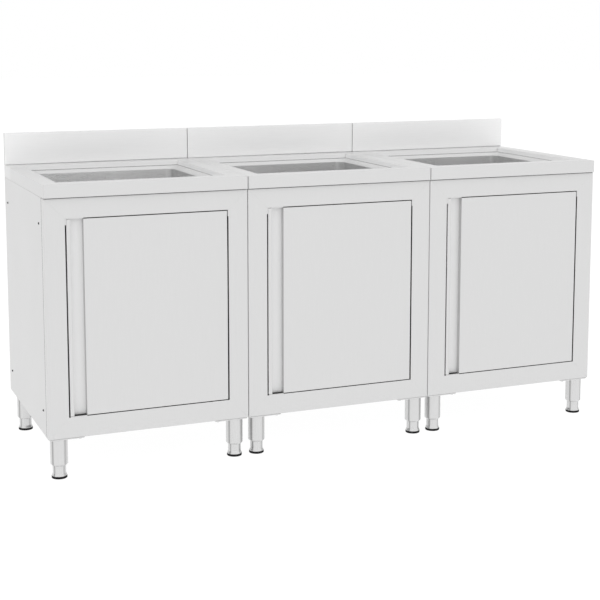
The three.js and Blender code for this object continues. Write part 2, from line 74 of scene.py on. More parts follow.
BOWL_INSET = 26 * MM  # from the rim's inner edge to the bowl's wall
BOWL_EDGE = 9 * MM  # the chamfer round the bowl's mouth
BOWL_LAND = 3 * MM  # the flat outside the chamfer
BOWL_FLANGE = 20 * MM  # from the bowl's wall out, under the deck
BOWL_CORNER = 30 * MM
BOWL_FLOOR_BEND = 24 * MM
BOWL_FALL = 4 * MM
DISH_RADIUS = 62 * MM
DISH_DEPTH = 3 * MM

WASTE_BORE = 37.8 * MM
WASTE_HOLE = 42 * MM  # in the bowl's floor
NUT_DROP = 16 * MM
NUT_HEIGHT = 9 * MM
TAIL_RADIUS = 25 * MM
TAIL_BORE = 22 * MM
THREAD_TURNS = 12
THREAD_PITCH = 1.8 * MM
THREAD_START = 4 * MM
THREAD_HEIGHT = 0.9 * MM
STRAINER_SHEET = 1.6 * MM
STRAINER_RADIUS = 37.2  # in millimetres, as are the holes
STRAINER_HOLES = ((26, 4.2, 14), (15, 4.2, 7))  # distance out, radius and number
STRAINER_HOLE_SIDES = 20

BORDER = 60 * MM
OPENING_HALF = 240 * MM
FRAME_RETURN = 26 * MM
NECK_SIDE = 1.8 * MM  # the cabinet's top is set in, to stand inside the skirt
NECK_FRONT = 5 * MM
SHADOW_GAP = 1.6 * MM  # between the step and the skirt's lower edge
JAMB = 10 * MM
STOP_DROP = 19 * MM
STOP_CLEARANCE = 2.7 * MM
EAR_DROP = 19 * MM  # the head's ears, which close the top of the gaps beside the door
LEFT_EAR = 3.7 * MM
RIGHT_EAR = 2.3 * MM
HEAD_STRIP = 1.9 * MM
FOOT_STRIP = 2.1 * MM
BUFFER = ((0.5, 0), (4, 0), (3.6, 1.6), (2.6, 2.1), (0.5, 2.2))  # radius and height, in millimetres
BUFFER_INSET = 40 * MM
BUFFER_DROP = 11 * MM

SIDE_SCREWS = ((-229.5, 729.6), (250, 729.6), (-229.5, 191), (250, 191))  # y and z, in millimetres
SIDE_JOINT = 2.6 * MM  # the sealed joint between the face frame's return and the side panel
SCREW_RADIUS = 3.5 * MM
SCREW_HEIGHT = 2.8 * MM
FLAT_SCREW_HEIGHT = 0.6 * MM  # where the next cabinet stands against it
SERVICE_HALF = 150 * MM
SERVICE_LOW, SERVICE_HIGH = 330 * MM, 560 * MM
SERVICE_CORNER = 12 * MM
SERVICE_LIP = 2.5 * MM
SHELF_LIP = 105 * MM  # the strip turned in below, at each side

DOOR_END_GAP = 2.8 * MM
DOOR_SIDE_GAP = 4.5 * MM
GRIP_LIP = 11 * MM
GRIP_WIDTH = 36.5 * MM
GRIP_DEPTH = 16 * MM
ROD_RADIUS = 3 * MM
COLLAR_RADIUS = 6 * MM

PLATE = 3 * MM
PLATE_CORNER = 5 * MM
BOLT_SPAN = 78 * MM
BOLT_RADIUS = 5.2 * MM
BOLT_HEIGHT = 3.4 * MM
LEG_RADIUS = 25 * MM
LEG_SHOULDER = 42 * MM
LEG_END = 37.5 * MM
NECK_RADIUS = 19 * MM
FOOT_RADIUS = 22.3 * MM
PAD_HEIGHT = 7 * MM
FLARE_RISE = 8 * MM  # from the pad to the sleeve's full narrowness
NECK_TOP = 78 * MM
STEM_RADIUS = 6 * MM

SHARP_ANGLE = 32  # degrees between faces, from which an edge looks sharp
FOLD_STEPS = 4  # per fold
RING_STEPS = 8  # per rounded corner
ROUND_SIDES = 64  # round a tube
BUTTON_SIDES = 24  # round a screw head or a buffer
DOME_STEPS = 5

# ---- Camera ----

CAMERA_PLACE = (-1.6240, -3.9008, 1.2680)
CAMERA_YAW = 22.43
CAMERA_PITCH = 7.38
CAMERA_LENS = 79.53
CAMERA_SHIFT = -0.165

camera_data = bpy.data.cameras.new("camera")
camera_data.lens = CAMERA_LENS
camera_data.sensor_width = 36
camera_data.shift_y = CAMERA_SHIFT
camera = bpy.data.objects.new("camera", camera_data)
camera.location = CAMERA_PLACE
camera.rotation_euler = (math.radians(90 - CAMERA_PITCH), 0, math.radians(-CAMERA_YAW))
bpy.context.scene.collection.objects.link(camera)
bpy.context.scene.camera = camera

# ---- Materials ----

OUTER_GREY = (0.68, 0.68, 0.68)
# Partly the mill finish of the inner sheets and partly painted shade inside the cabinet: half as pale as the
# outer grey.
INNER_FINISH_AND_SHADE_GREY = (0.34, 0.34, 0.34)
# Painted shade: the near-black steel of the jambs round the door opening.
JAMB_PAINTED_SHADE_GREY = (0.05, 0.05, 0.05)
# Painted shade: the dark strip along the foot of the recess's wall.
CREASE_PAINTED_SHADE_GREY = (0.2, 0.2, 0.2)
SCREW_GREY = (0.06, 0.06, 0.06)
RUBBER_DARK = (0.004, 0.004, 0.0045)
RUBBER_LIGHT = (0.012, 0.012, 0.013)
GRAIN = {"x": (0.012, 1, 1), "z": (1, 1, 0.012)}  # along the row, or upright
# Painted reflections on the round tubes and feet: dark streaks by azimuth, half width and depth.
TUBE_PAINTED_REFLECTIONS = ((-57, 7, 0.42), (33, 10, 0.28), (122, 8, 0.35), (-146, 9, 0.3))  # azimuth, half width, depth
FRONT_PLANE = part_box("left_door_skin")[0].y


def new_material(name):
    """A material, its node tree and its shader, with nothing linked yet."""
    material = bpy.data.materials.new(name)
    material.use_nodes = True
    tree = material.node_tree
    return material, tree, tree.nodes["Principled BSDF"]


def noise(tree, scale, stretch=(1, 1, 1), detail=3.0):
    """Noise in object space. stretch scales each axis, so a small value draws the grain out along it."""
    place = tree.nodes.new("ShaderNodeTexCoord")
    mapping = tree.nodes.new("ShaderNodeMapping")
    mapping.inputs["Scale"].default_value = stretch
    texture = tree.nodes.new("ShaderNodeTexNoise")
    texture.inputs["Scale"].default_value = scale
    texture.inputs["Detail"].default_value = detail
    tree.links.new(place.outputs["Object"], mapping.inputs["Vector"])
    tree.links.new(mapping.outputs["Vector"], texture.inputs["Vector"])
    return texture.outputs["Fac"]


def spread(tree, value, low, high):
    """Maps a noise value onto the range low to high."""
    node = tree.nodes.new("ShaderNodeMapRange")
    node.inputs["From Min"].default_value = 0.3
    node.inputs["From Max"].default_value = 0.7
    node.inputs["To Min"].default_value = low
    node.inputs["To Max"].default_value = high
    tree.links.new(value, node.inputs["Value"])
    return node.outputs["Result"]


def ramp(tree, value, start, end, low, high):
    """A smooth change from low to high as a value goes from start to end."""
    node = tree.nodes.new("ShaderNodeMapRange")
    node.interpolation_type = "SMOOTHSTEP"
    node.inputs["From Min"].default_value = start
    node.inputs["From Max"].default_value = end
    node.inputs["To Min"].default_value = low
    node.inputs["To Max"].default_value = high
    tree.links.new(value, node.inputs["Value"])
    return node.outputs["Result"]


def math_node(tree, operation, first, second=None):
    """A maths node on one or two values, each a socket or a number."""
    node = tree.nodes.new("ShaderNodeMath")
    node.operation = operation
    for socket, value in ((0, first), (1, second)):
        if value is None:
            continue
        if isinstance(value, (int, float)):
            node.inputs[socket].default_value = value
        else:
            tree.links.new(value, node.inputs[socket])
    return node.outputs["Value"]


def dimmed(tree, azimuth, windows):
    """A factor of 1 that falls by a depth inside each window of azimuth, all in degrees but the depth."""
    light = None
    for centre, half, depth in windows:
        offset = math_node(tree, "ABSOLUTE", math_node(tree, "SUBTRACT", azimuth, math.radians(centre)))
        factor = ramp(tree, offset, math.radians(half * 0.5), math.radians(half * 1.5), 1 - depth, 1.0)
        light = factor if light is None else math_node(tree, "MULTIPLY", light, factor)
    return light


def tinted(tree, value, dark, light):
    """A colour between two greys, by a value."""
    node = tree.nodes.new("ShaderNodeMix")
    node.data_type = "RGBA"
    node.inputs["A"].default_value = (*dark, 1)
    node.inputs["B"].default_value = (*light, 1)
    tree.links.new(value, node.inputs["Factor"])
    return node.outputs["Result"]


def shaded(material, factor):
    """Multiplies a material's colour by a factor from its own node tree."""
    tree = material.node_tree
    shader = tree.nodes["Principled BSDF"]
    colour = shader.inputs["Base Color"].links[0].from_socket
    mix = tree.nodes.new("ShaderNodeMix")
    mix.data_type = "RGBA"
    mix.blend_type = "MULTIPLY"
    mix.clamp_result = False
    mix.inputs["Factor"].default_value = 1
    tree.links.new(colour, mix.inputs["A"])
    tree.links.new(factor, mix.inputs["B"])
    tree.links.new(mix.outputs["Result"], shader.inputs["Base Color"])
    return material


def along(tree, output, axis):
    """One axis of a texture coordinate."""
    place = tree.nodes.new("ShaderNodeTexCoord")
    parts = tree.nodes.new("ShaderNodeSeparateXYZ")
    tree.links.new(place.outputs[output], parts.inputs["Vector"])
    return parts.outputs[axis]


def from_middle(tree):
    """The distance to the middle of the piece, as a share of its width."""
    return math_node(tree, "ABSOLUTE", math_node(tree, "SUBTRACT", along(tree, "Generated", "X"), 0.5))


def product(tree, *factors):
    """The product of several sockets."""
    result = factors[0]
    for factor in factors[1:]:
        result = math_node(tree, "MULTIPLY", result, factor)
    return result


def bumped(tree, value, strength, distance):
    """A normal from the height of a value."""
    node = tree.nodes.new("ShaderNodeBump")
    node.inputs["Strength"].default_value = strength
    node.inputs["Distance"].default_value = distance
    tree.links.new(value, node.inputs["Height"])
    return node.outputs["Normal"]


def brushed_steel(name, grey, roughness, grain, depth=0.12, metal=0.4):
    """Satin stainless sheet: fine drawn-out grain, broad handling marks and a slight change of grey."""
    material, tree, shader = new_material(name)
    lines = noise(tree, 1400, GRAIN[grain], detail=4)
    marks = noise(tree, 5, detail=4)
    fine = spread(tree, lines, -0.035, 0.035)
    broad = spread(tree, marks, roughness - 0.03, roughness + 0.03)
    dark = tuple(0.965 * part for part in grey)
    tree.links.new(tinted(tree, spread(tree, lines, 0, 1), dark, grey), shader.inputs["Base Color"])
    tree.links.new(math_node(tree, "ADD", fine, broad), shader.inputs["Roughness"])
    tree.links.new(bumped(tree, lines, depth, 0.0001), shader.inputs["Normal"])
    shader.inputs["Metallic"].default_value = metal
    shader.inputs["Anisotropic"].default_value = 0.3
    return material


def painted_reflection_tube_steel(name, grey):
    """Polished tube: the satin finish with dark upright streaks of painted reflection."""
    material = brushed_steel(name, grey, 0.3, "z", depth=0.08, metal=0.7)
    tree = material.node_tree
    # Painted reflection: dark upright streaks, set by the direction each face looks, multiplied into the
    # colour.
    forward = math_node(tree, "MULTIPLY", along(tree, "Normal", "Y"), -1.0)
    azimuth = math_node(tree, "ARCTAN2", along(tree, "Normal", "X"), forward)
    return shaded(material, dimmed(tree, azimuth, TUBE_PAINTED_REFLECTIONS))


def upstand_steel_of(name, grey):
    """The upstand's satin sheet, with painted light on its front, which looks out over the bright worktop.
    """
    material = brushed_steel(name, grey, 0.5, "x", metal=0.12)
    tree = material.node_tree
    # Painted light: the front face is made up to 1.38 times paler.
    return shaded(material, ramp(tree, along(tree, "Normal", "Y"), -0.9, -0.2, 1.38, 1.0))


def door_steel_of(name, grey):
    """The door's satin sheet, with a painted highlight along the front of its outer edges and painted shade
    deeper in, painted shade on its sideways faces, and painted light in its grip channel.
    """
    material = brushed_steel(name, grey, 0.42, "z")
    tree = material.node_tree
    outermost = ramp(tree, from_middle(tree), 0.4985, 0.4999, 0.0, 1.0)
    behind = math_node(tree, "SUBTRACT", along(tree, "Object", "Y"), FRONT_PLANE)
    # Painted highlight on the outermost edge faces near the front, fading to painted shade deeper in.
    edge_painted_light_and_shade = ramp(tree, behind, 2 * MM, 11 * MM, 1.1, -0.85)
    edge = math_node(tree, "ADD", product(tree, outermost, edge_painted_light_and_shade), 1.0)
    # Painted shade on the faces that look sideways, such as the channel's walls.
    side = ramp(tree, math_node(tree, "ABSOLUTE", along(tree, "Normal", "X")), 0.3, 0.9, 1.0, 0.8)
    # Painted light on the floor of the grip channel and whatever lies as deep.
    deep = ramp(tree, behind, 12 * MM, 15.5 * MM, 1.0, 1.15)
    return shaded(material, product(tree, edge, side, deep))


def worktop_steel_of(name, grey):
    """The worktop's satin sheet, with painted light towards the rear and on the recess's right wall."""
    material = brushed_steel(name, grey, 0.42, "x")
    tree = material.node_tree
    # Painted light on the rear of the worktop, next to the upstand.
    rear = ramp(tree, along(tree, "Object", "Y"), 0.17, 0.23, 1.0, 1.1)
    # Painted light on walls that face left, away from the piece's ends: the recess's right wall.
    within = ramp(tree, from_middle(tree), 0.45, 0.46, 0.19, 0.0)
    leftward = ramp(tree, along(tree, "Normal", "X"), -0.95, -0.5, 1.0, 0.0)
    wall = math_node(tree, "ADD", product(tree, within, leftward), 1.0)
    return shaded(material, product(tree, rear, wall))


def crease_painted_shade_steel_of(name, grey):
    """Painted shade for the foot of the recess's wall, less dark along its sides."""
    material = brushed_steel(name, grey, 0.5, "x", depth=0.08, metal=0.2)
    tree = material.node_tree
    sideways = math_node(tree, "ABSOLUTE", along(tree, "Normal", "X"))
    return shaded(material, ramp(tree, sideways, 0.3, 0.8, 1.0, 1.9))


def bowl_steel_of(name, grey):
    """The bowl's satin sheet, with painted light on the back wall of the bowl, strongest at the left end of
    the row, and on its right walls.
    """
    material = brushed_steel(name, grey, 0.3, "x", depth=0.06, metal=0.9)
    tree = material.node_tree
    # Painted light on the bowl's back wall, strongest at the left end of the row.
    painted_light_at_left = ramp(tree, along(tree, "Object", "X"), -0.42, -0.2, 0.95, 0.33)
    rear = ramp(tree, along(tree, "Object", "Y"), -0.1, 0.1, 0.0, 1.0)
    forward = ramp(tree, along(tree, "Normal", "Y"), -0.95, -0.6, 1.0, 0.0)
    # Painted light on the walls that face left: the bowl's right walls.
    right = ramp(tree, along(tree, "Normal", "X"), -0.95, -0.6, 1.12, 1.0)
    return shaded(material, math_node(tree, "ADD", product(tree, painted_light_at_left, rear, forward), right))


def back_steel_of(name, grey):
    """The back sheet's mill finish, with painted light on its outer face; inside the cabinet it keeps the
    darker grey of painted shade.
    """
    material = brushed_steel(name, grey, 0.45, "x", depth=0.08, metal=0.6)
    tree = material.node_tree
    # Painted light on the outer face, 1.75 times paler than inside.
    return shaded(material, ramp(tree, along(tree, "Normal", "Y"), 0.3, 0.9, 1.0, 1.75))


def polished_steel(name, grey, roughness):
    """Turned or polished steel with faint marks of handling."""
    material, tree, shader = new_material(name)
    marks = noise(tree, 40, detail=5)
    tree.links.new(spread(tree, marks, roughness - 0.04, roughness + 0.05), shader.inputs["Roughness"])
    dark = tuple(0.95 * part for part in grey)
    tree.links.new(tinted(tree, spread(tree, marks, 0, 1), dark, grey), shader.inputs["Base Color"])
    shader.inputs["Metallic"].default_value = 1
    return material


def black_rubber(name):
    """Matt black rubber with fine specks."""
    material, tree, shader = new_material(name)
    specks = noise(tree, 900, detail=6)
    colour = tinted(tree, spread(tree, specks, 0, 1), RUBBER_DARK, RUBBER_LIGHT)
    tree.links.new(colour, shader.inputs["Base Color"])
    tree.links.new(spread(tree, specks, 0.72, 0.9), shader.inputs["Roughness"])
    tree.links.new(bumped(tree, specks, 0.3, 0.0002), shader.inputs["Normal"])
    shader.inputs["Specular IOR Level"].default_value = 0.25
    return material


steel_x = brushed_steel("brushed_steel_along_x", OUTER_GREY, 0.42, "x")
steel_z = brushed_steel("brushed_steel_upright", OUTER_GREY, 0.42, "z")
upstand_steel = upstand_steel_of("brushed_upstand_steel", OUTER_GREY)
door_steel = door_steel_of("brushed_door_steel", OUTER_GREY)
worktop_steel = worktop_steel_of("brushed_worktop_steel", OUTER_GREY)
bowl_steel = bowl_steel_of("satin_bowl_steel", OUTER_GREY)
crease_painted_shade_steel = crease_painted_shade_steel_of("crease_painted_shade_steel", CREASE_PAINTED_SHADE_GREY)
inner_steel = brushed_steel("mill_finish_and_painted_shade_steel", INNER_FINISH_AND_SHADE_GREY, 0.45, "x", depth=0.08, metal=0.6)
back_steel = back_steel_of("back_sheet_steel", INNER_FINISH_AND_SHADE_GREY)
jamb_shade_steel = brushed_steel("jamb_painted_shade_steel", JAMB_PAINTED_SHADE_GREY, 0.5, "z", depth=0.08, metal=0.2)
tube_steel = painted_reflection_tube_steel("brushed_tube_steel", OUTER_GREY)
bright_steel = polished_steel("polished_steel", OUTER_GREY, 0.16)
screw_steel = polished_steel("blackened_screw_steel", SCREW_GREY, 0.45)
rubber = black_rubber("black_rubber")

# ---- Mesh helpers ----


def piece_of(name, points, faces, material, body, nodes=()):
    """Makes a mesh piece that rides on a body, takes a material and stands for some nodes."""
    mesh = bpy.data.meshes.new(name)
    mesh.from_pydata([tuple(point) for point in points], [], faces)
    mesh.validate()
    mesh.update()
    mesh.shade_smooth()
    mesh.set_sharp_from_angle(angle=math.radians(SHARP_ANGLE))
    mesh.materials.append(material)
    piece = bpy.data.objects.new(name, mesh)
    bpy.context.scene.collection.objects.link(piece)
    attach(piece, body)
    if nodes:
        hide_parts(*nodes)
    return piece


def soften(piece, width, segments=2, angle=40):
    """Rounds a piece's cut edges slightly."""
    bevel = piece.modifiers.new("softened_edges", "BEVEL")
    bevel.width = width
    bevel.segments = segments
    bevel.limit_method = "ANGLE"
    bevel.angle_limit = math.radians(angle)
    bevel.harden_normals = True
    return piece


def ring_faces(rings, wrap, start=0):
    """Quads from each ring to the next; the ends are capped, or joined when wrap is true."""
    count = len(rings[0])
    faces = []
    links = len(rings) if wrap else len(rings) - 1
    for r in range(links):
        here = start + r * count
        after = start + (r + 1) % len(rings) * count
        for i in range(count):
            j = (i + 1) % count
            faces.append((here + i, here + j, after + j, after + i))
    if not wrap:
        faces.append(tuple(start + i for i in reversed(range(count))))
        faces.append(tuple(start + (len(rings) - 1) * count + i for i in range(count)))
    return faces


def ring_body(parts, wrap):
    """Points and faces of several ring bodies in one mesh."""
    points = []
    faces = []
    for rings in parts:
        faces += ring_faces(rings, wrap, len(points))
        points += [point for ring in rings for point in ring]
    return points, faces


def filleted(corners, radii):
    """A flat path with rounded corners. A radius of None keeps a corner as a plain point."""
    path = []
    for i, corner in enumerate(corners):
        radius = radii[i]
        if radius is None:
            path.append(Vector(corner))
            continue
        here = Vector(corner)
        back = (Vector(corners[i - 1]) - here).normalized()
        on = (Vector(corners[(i + 1) % len(corners)]) - here).normalized()
        half = back.angle(on) / 2
        reach = radius / math.tan(half)
        centre = here + (back + on).normalized() * (radius / math.sin(half))
        first = here + back * reach - centre
        last = here + on * reach - centre
        sweep = first.angle(last)
        for step in range(FOLD_STEPS + 1):
            share = step / FOLD_STEPS
            near = first * (math.sin((1 - share) * sweep) / math.sin(sweep))
            far = last * (math.sin(share * sweep) / math.sin(sweep))
            path.append(centre + near + far)
    return path


def folded(outer, inner, start, end):
    """Rings of a folded sheet: each is the sheet's four corners at one point of its path."""
    rings = []
    for out, within in zip(outer, inner):
        rings.append([start(*out), end(*out), end(*within), start(*within)])
    return rings


def rounded_rectangle(x0, x1, y0, y1, radius, z):
    """Points round a rounded rectangle, level at z, anticlockwise from above."""
    points = []
    for quarter, (x, y) in enumerate(((x1, y1), (x0, y1), (x0, y0), (x1, y0))):
        middle_x = x - radius if x == x1 else x + radius
        middle_y = y - radius if y == y1 else y + radius
        for step in range(RING_STEPS + 1):
            angle = (quarter + step / RING_STEPS) * math.pi / 2
            across, along_y = radius * math.cos(angle), radius * math.sin(angle)
            points.append(Vector((middle_x + across, middle_y + along_y, z)))
    return points


def circle(x, y, radius, z, count=ROUND_SIDES, turn=0.0):
    """Points round a circle, level at z. turn moves them on, in steps."""
    points = []
    for i in range(count):
        angle = (i + turn) / count * 2 * math.pi
        points.append(Vector((x + radius * math.cos(angle), y + radius * math.sin(angle), z)))
    return points


def turned(name, x, y, profile, material, body, nodes=(), wrap=True, sides=ROUND_SIDES):
    """A profile of (radius, height) pairs turned about an upright axis."""
    rings = [circle(x, y, radius, z, sides) for radius, z in profile]
    return lofted(name, [rings], wrap, material, body, nodes)


def lofted(name, parts, wrap, material, body, nodes=()):
    """A piece made of one or more ring bodies."""
    points, faces = ring_body(parts, wrap)
    return piece_of(name, points, faces, material, body, nodes)


def facing(place, outward, rings):
    """Rings drawn round the Z axis, moved to a place and turned to face outward."""
    turn = outward.to_track_quat("Z", "Y").to_matrix()
    return [[place + turn @ point for point in ring] for ring in rings]


def button(name, place, outward, profile, material, body):
    """A small turned button that faces outward, from (radius, height) pairs."""
    rings = facing(place, outward, [circle(0, 0, radius, z, BUTTON_SIDES) for radius, z in profile])
    return lofted(name, [rings], False, material, body)


def dome(radius, height, sweep):
    """The (radius, height) pairs of a dome, from its edge up through some degrees."""
    profile = [(radius, 0.0)]
    for step in range(1, DOME_STEPS + 1):
        angle = step / DOME_STEPS * math.radians(sweep)
        profile.append((radius * math.cos(angle), height * math.sin(angle)))
    return profile


def blocks(name, boxes, material, body, nodes=(), edge=0.4 * MM):
    """Square-cut bars and plates, given as pairs of corners, with softened edges."""
    parts = []
    for (x0, y0, z0), (x1, y1, z1) in boxes:
        level = [(x0, y0), (x1, y0), (x1, y1), (x0, y1)]
        parts.append([[Vector((x, y, z)) for x, y in level] for z in (z0, z1)])
    return soften(lofted(name, parts, False, material, body, nodes), edge)


# ---- Worktop, upstand and bowl ----


class Unit:
    """The places of one cabinet, read from the frame."""

    def __init__(self, name):
        self.name = name
        low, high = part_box(f"{name}_worktop")
        self.x0, self.x1 = low.x, high.x
        self.middle = (low.x + high.x) / 2
        self.front, self.back = low.y, high.y
        self.skirt = low.z
        self.splash = high.z
        self.top = low.z + SKIRT
        self.rim = (low.x + RIM_SIDE, high.x - RIM_SIDE, low.y + RIM_FRONT, high.y - RIM_REAR)
        self.deck = self.top - SLOPE_DROP
        low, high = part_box(f"{name}_face_frame")
        self.frame_x0, self.frame_x1 = low.x, high.x
        self.frame_front, self.frame_back = low.y, low.y + FRAME_RETURN
        self.base, self.frame_top = low.z, high.z
        self.shoulder = self.skirt - SHADOW_GAP
        self.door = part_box(f"{name}_door_skin")

    def label(self, word):
        return f"{self.name}_{word}"

    def recess(self, inset, z, corner):
        """A ring at an inset from the rim's inner edge."""
        x0, x1, y0, y1 = self.rim
        return rounded_rectangle(x0 + inset, x1 - inset, y0 + inset, y1 - inset, corner, z)

    def seamed_recess(self, inset, z):
        """The recess with a fine open seam at each corner, as the mitred slopes have."""
        x0, x1, y0, y1 = self.rim
        points = []
        for quarter, (x, y) in enumerate(((x1 - inset, y1 - inset), (x0 + inset, y1 - inset),
                                          (x0 + inset, y0 + inset), (x1 - inset, y0 + inset))):
            out_x = 1 if quarter in (0, 3) else -1
            out_y = 1 if quarter in (0, 1) else -1
            along_y = [(0, -step * out_y) for step in SEAM_STEPS]
            along_x = [(-step * out_x, 0) for step in reversed(SEAM_STEPS)]
            notch = [(SEAM_NOTCH * out_x, SEAM_NOTCH * out_y)]
            steps = along_y + notch + along_x
            if quarter in (1, 3):
                steps.reverse()
            points += [Vector((x + dx * MM, y + dy * MM, z)) for dx, dy in steps]
        return points

    def bowl_ring(self, offset, z):
        """A ring at an offset outside the bowl's wall."""
        return self.recess(BOWL_INSET - offset, z, BOWL_CORNER + offset)


def worktop(unit):
    """The pressed top: skirt, rim, slope and deck, down to the edge of the bowl's aperture."""
    on = 30 * MM  # far enough past a fold to set its direction

    def outer(inset, z):
        return rounded_rectangle(
            unit.x0 + inset, unit.x1 - inset, unit.front + inset, unit.back - SHEET - inset, TOP_CORNER, z)

    edge = filleted([(0, unit.skirt), (0, unit.top), (on, unit.top)], [None, FOLD, None])
    slope = filleted(
        [(-on, unit.top), (0, unit.top), (SLOPE_RUN, unit.deck), (SLOPE_RUN + on, unit.deck)],
        [None, RIM_BEND, TIGHT, None])
    rings = [outer(inset, z) for inset, z in edge[:-1]]
    rings += [unit.seamed_recess(inset, z) for inset, z in slope[1:-1]]
    lip = BOWL_EDGE + BOWL_LAND + 0.35 * MM
    rings += [
        unit.bowl_ring(lip, unit.deck - HAIR),
        unit.bowl_ring(lip, unit.deck - SHEET),
        unit.recess(SLOPE_RUN - SHEET, unit.deck - SHEET, RECESS_CORNER),
        unit.recess(-3.5 * MM, unit.top - SHEET, RECESS_CORNER),
        outer(SHEET, unit.top - SHEET),
        outer(SHEET, unit.skirt),
    ]
    node = unit.label("worktop")
    lofted(unit.label("worktop_pressing"), [rings], True, worktop_steel, "root", [node])
    crease(unit, node)


def crease(unit, node):
    """A dark strip of painted shade along the foot of the recess's wall."""
    wall = SLOPE_RUN - 0.4 * MM
    low, high = unit.deck + 0.05 * MM, unit.deck + 1.3 * MM
    section = ((0, low), (0.55 * MM, low), (0.25 * MM, high), (-0.2 * MM, high))
    rings = [unit.recess(wall + proud, z, 1 * MM) for proud, z in section]
    lofted(unit.label("recess_painted_crease_shade"), [rings], True, crease_painted_shade_steel, "root", [node])


def upstand(unit):
    """The folded upstand along the back, with a fine shadow line at its foot and its back down the rear."""
    front = unit.back - SPLASH_DEPTH
    inside = unit.back - SHEET + HAIR
    seat = unit.top + HAIR
    toe = front + 4 * MM

    def section(foot):
        return filleted(
            [
                (front, foot), (front, unit.splash), (unit.back, unit.splash), (unit.back, unit.skirt),
                (inside, unit.skirt), (inside, seat), (toe, seat), (toe, foot),
            ],
            [0.5 * MM, FOLD, FOLD, None, None, None, None, None])

    inset = 0.6 * MM
    ends = ((unit.x0 + inset, unit.top + 0.8 * MM), (unit.x1 - inset, unit.top + 2.1 * MM))
    rings = [[Vector((x, y, z)) for y, z in section(foot)] for x, foot in ends]
    piece = lofted(
        unit.label("upstand"), [rings], False, upstand_steel, "root",
        [unit.label("worktop")])
    return soften(piece, 0.8 * MM, segments=3, angle=60)


def centre_of(low, high):
    """The middle of a box, seen from above."""
    return (low.x + high.x) / 2, (low.y + high.y) / 2


def between(first, last, share):
    """A ring part of the way from one ring to another."""
    return [a.lerp(b, share) for a, b in zip(first, last)]


def mouth(unit, depth, start, end, radius):
    """The bowl's edge as offsets and heights: land, chamfer and wall, depth below the outer face."""
    land = unit.deck - HAIR
    slant = depth * (math.sqrt(2) - 1)
    return filleted(
        [
            (start, land - depth), (BOWL_EDGE + slant, land - depth),
            (depth, land - BOWL_EDGE - slant), (depth, end)],
        [None, radius, radius, None])


def bowl_rim(unit, foot):
    """The bright edge of the bowl, flush with the deck, down to where the wall begins."""
    start = BOWL_EDGE + BOWL_LAND
    outer = mouth(unit, 0, start, foot, 1.8 * MM)
    inner = mouth(unit, SHEET, start, foot, TIGHT)
    rings = [unit.bowl_ring(offset, z) for offset, z in outer + list(reversed(inner))]
    lofted(unit.label("bowl_rim"), [rings], True, worktop_steel, "root", [unit.label("bowl")])


def bowl(unit):
    """The deep-drawn bowl: a flange, upright walls, a rounded floor with a fall, and a waste dish."""
    low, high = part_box(unit.label("bowl"))
    floor = low.z + SHEET + BOWL_FALL + DISH_DEPTH
    flange = high.z
    waste_y = centre_of(low, high)[1]
    count = 4 * (RING_STEPS + 1)
    foot = unit.deck - BOWL_EDGE - 1.2 * MM
    bowl_rim(unit, foot)

    def dish_ring(radius, z):
        return circle(unit.middle, waste_y, radius, z, count, turn=0.5)

    def shell(drop):
        """One side of the sheet, drop below the inner face."""
        behind = SHEET + 0.25 * MM + drop
        step = foot - HAIR - drop
        path = [(BOWL_FLANGE, flange - drop)] + mouth(unit, behind, BOWL_FLANGE, step, TIGHT)[1:]
        rings = [unit.bowl_ring(offset, z) for offset, z in path]
        rings.append(unit.bowl_ring(drop, step))
        bend = BOWL_FLOOR_BEND + drop
        for turn in range(RING_STEPS + 1):
            angle = turn / RING_STEPS * math.pi / 2
            offset = -BOWL_FLOOR_BEND + bend * math.cos(angle)
            rings.append(unit.bowl_ring(offset, floor + BOWL_FLOOR_BEND - bend * math.sin(angle)))
        low_point = floor - BOWL_FALL - drop
        dish = dish_ring(DISH_RADIUS, low_point)
        rings += [between(rings[-1], dish, share / RING_STEPS) for share in range(1, RING_STEPS)]
        rings.append(dish)
        rings.append(dish_ring(DISH_RADIUS - 1.5 * MM, low_point - 0.6 * MM))
        rings.append(dish_ring(DISH_RADIUS - 3.5 * MM, low_point - DISH_DEPTH + 0.4 * MM))
        rings.append(dish_ring(DISH_RADIUS - 5.5 * MM, low_point - DISH_DEPTH))
        rings.append(dish_ring(WASTE_HOLE, low_point - DISH_DEPTH))
        return rings

    rings = shell(0) + list(reversed(shell(SHEET)))
    node = unit.label("bowl")
    lofted(unit.label("bowl_pressing"), [rings], True, bowl_steel, "root", [node])


# ---- Waste ----


